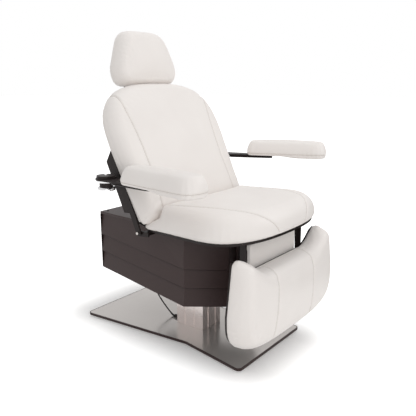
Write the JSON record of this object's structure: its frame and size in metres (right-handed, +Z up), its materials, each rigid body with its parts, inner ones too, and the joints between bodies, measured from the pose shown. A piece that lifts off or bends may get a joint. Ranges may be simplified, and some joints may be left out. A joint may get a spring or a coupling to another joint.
{
  "type": "spa treatment chair",
  "caption": "Padded treatment chair on a lifting column and waisted floor plate, with reclining back, sliding tilting headrest, swinging armrests and a hinged leg rest.",
  "frame": {"origin": "on the floor under the middle of the chair's own box, feet standing on z = 0", "axes": "+Z up, the sitter faces -Y and the sitter's left is +X"},
  "size_m": [1.239, 1.1014, 1.4715],
  "materials": {
    "black_coated_steel": "satin powder coat",
    "black_rubber": "matt",
    "brass": "turned",
    "brushed_stainless_steel": "brushed, lightly mirrored",
    "dark_bronze_powder_coat": "satin powder coat",
    "dark_plastic": "fine matt",
    "polished_chrome": "polished",
    "satin_anodised_aluminium": "satin anodised",
    "warm_white_vinyl": "smooth matt upholstery vinyl"
  },
  "bodies": {
    "base": {"base_plate": "brushed_stainless_steel", "base_edge_trim": "dark_bronze_powder_coat", "front_left_foot": "black_rubber", "front_right_foot": "black_rubber", "rear_left_foot": "black_rubber", "rear_right_foot": "black_rubber", "column_outer": "satin_anodised_aluminium", "column_guide": "dark_plastic", "lift_spindle": "brushed_stainless_steel", "cord_gland": "black_coated_steel"},
    "back": {"back_board": "warm_white_vinyl", "back_cushion": "warm_white_vinyl", "left_back_rail": "black_coated_steel", "right_back_rail": "black_coated_steel", "back_cross_tube": "black_coated_steel", "left_headrest_socket": "black_coated_steel", "right_headrest_socket": "black_coated_steel", "left_arm_bolt": "brass", "right_arm_bolt": "brass"},
    "headrest_slide": {"headrest_frame": "black_coated_steel"},
    "headrest": {"headrest_board": "warm_white_vinyl", "headrest_cushion": "warm_white_vinyl"},
    "leg_rest": {"leg_board": "black_coated_steel", "leg_cushion": "warm_white_vinyl", "leg_hinge_frame": "black_coated_steel"},
    "left_arm_bracket": {"left_arm_bracket": "black_coated_steel", "left_arm_swivel_ring": "polished_chrome"},
    "left_arm": {"left_arm_plate": "black_coated_steel", "left_arm_cushion": "warm_white_vinyl"},
    "right_arm_bracket": {"right_arm_bracket": "black_coated_steel", "right_arm_swivel_ring": "polished_chrome"},
    "right_arm": {"right_arm_plate": "black_coated_steel", "right_arm_cushion": "warm_white_vinyl"},
    "lift": {"apron_bracket": "black_coated_steel", "column_inner": "satin_anodised_aluminium", "front_cross_member": "black_coated_steel", "head_plate": "black_coated_steel", "left_chassis_rail": "black_coated_steel", "left_hinge_bracket": "black_coated_steel", "left_hinge_pin": "polished_chrome", "left_leg_hinge_mount": "black_coated_steel", "left_skirt_lower": "dark_bronze_powder_coat", "left_skirt_middle": "dark_bronze_powder_coat", "left_skirt_upper": "dark_bronze_powder_coat", "lift_nut": "brass", "power_cord": "black_rubber", "rear_cross_member": "black_coated_steel", "rear_lid": "dark_bronze_powder_coat", "rear_panel": "black_coated_steel", "relief_bracket": "black_coated_steel", "right_chassis_rail": "black_coated_steel", "right_hinge_bracket": "black_coated_steel", "right_hinge_pin": "polished_chrome", "right_leg_hinge_mount": "black_coated_steel", "right_skirt_lower": "dark_bronze_powder_coat", "right_skirt_middle": "dark_bronze_powder_coat", "right_skirt_upper": "dark_bronze_powder_coat", "seat_apron": "warm_white_vinyl", "seat_board": "black_coated_steel", "seat_cushion": "warm_white_vinyl"}
  },
  "joints": [
    {"name": "lift", "type": "slide", "parent": "base", "child": "lift", "axis": [0, 0, 1], "range_m": [0, 0.26], "deforming": ["power_cord"]},
    {"name": "recline", "type": "hinge", "parent": "lift", "child": "back", "pos_m": [-0.07437, 0.05565, 0.572], "axis": [-1, 0, 0], "range_deg": [0, 57]},
    {"name": "leg_raise", "type": "hinge", "parent": "lift", "child": "leg_rest", "pos_m": [-0.07437, -0.42435, 0.579], "axis": [-1, 0, 0], "range_deg": [0, 80]},
    {"name": "headrest_height", "type": "slide", "parent": "back", "child": "headrest_slide", "axis": [0, 0.4274, 0.9041], "range_m": [0, 0.08]},
    {"name": "headrest_tilt", "type": "hinge", "parent": "headrest_slide", "child": "headrest", "pos_m": [-0.07437, 0.4097, 1.2508], "axis": [-1, 0, 0], "range_deg": [0, 25]},
    {"name": "left_arm_level", "type": "hinge", "parent": "back", "child": "left_arm_bracket", "pos_m": [0.28763, 0.18504, 0.78957], "axis": [-1, 0, 0], "range_deg": [-57, 0]},
    {"name": "left_arm_swing", "type": "hinge", "parent": "left_arm_bracket", "child": "left_arm", "pos_m": [0.35163, 0.18504, 0.78957], "axis": [0, 0, 1], "range_deg": [-20, 63]},
    {"name": "right_arm_level", "type": "hinge", "parent": "back", "child": "right_arm_bracket", "pos_m": [-0.43637, 0.18504, 0.78957], "axis": [-1, 0, 0], "range_deg": [-57, 0]},
    {"name": "right_arm_swing", "type": "hinge", "parent": "right_arm_bracket", "child": "right_arm", "pos_m": [-0.50037, 0.18504, 0.78957], "axis": [0, 0, -1], "range_deg": [-4, 79]}
  ],
  "couplings": [
    {"joint": "left_arm_level", "follows": "recline", "ratio": -1},
    {"joint": "right_arm_level", "follows": "recline", "ratio": -1}
  ]
}
